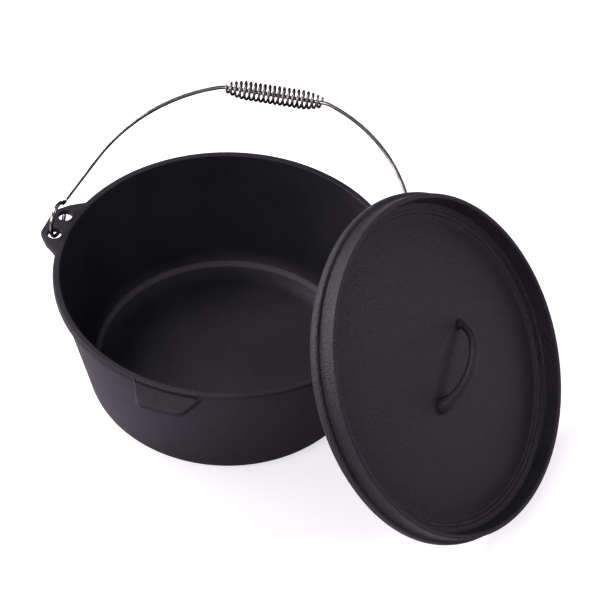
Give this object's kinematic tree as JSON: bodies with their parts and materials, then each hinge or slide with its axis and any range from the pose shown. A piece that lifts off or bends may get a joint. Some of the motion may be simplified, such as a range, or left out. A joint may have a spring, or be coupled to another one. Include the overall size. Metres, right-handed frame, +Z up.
{
  "type": "dutch oven",
  "caption": "Deep round cast-iron camp oven with side ears, front lug and short feet, a flanged lid with a loop handle leaning beside it, and a wire bail with a coiled spring grip.",
  "frame": {"origin": "on the pot's axis, in the plane that its three feet stand on", "axes": "+Z up along the pot's axis, +X through the middle of the ear that the lid leans towards, -Y through the middle of the front lug"},
  "size_m": [0.5492, 0.4075, 0.2792],
  "materials": {
    "pot_iron": "satin black, finely pebbled as cast",
    "lid_iron": "satin black, finely pebbled as cast",
    "bail_wire": "bright plated steel wire",
    "grip_spring": "dark oiled spring steel"
  },
  "bodies": {
    "pot": {"pot": "pot_iron"},
    "lid": {"lid": "lid_iron"},
    "bail": {"bail": "bail_wire"},
    "grip": {"grip": "grip_spring"}
  },
  "joints": [
    {"name": "bail_swing", "type": "hinge", "parent": "pot", "child": "bail", "pos_m": [0, 0, 0.155], "axis": [1, 0, 0], "range_deg": [0, 28]},
    {"name": "grip_spin", "type": "hinge", "parent": "bail", "child": "grip", "pos_m": [-0.01277, 0.17772, 0.22898], "axis": [0.9971, 0.0708, 0.0295], "continuous": true},
    {"name": "lid_lift", "type": "slide", "parent": "pot", "child": "lid", "axis": [0.7697, -0.1636, 0.617], "range_m": [0, 0.25]}
  ]
}
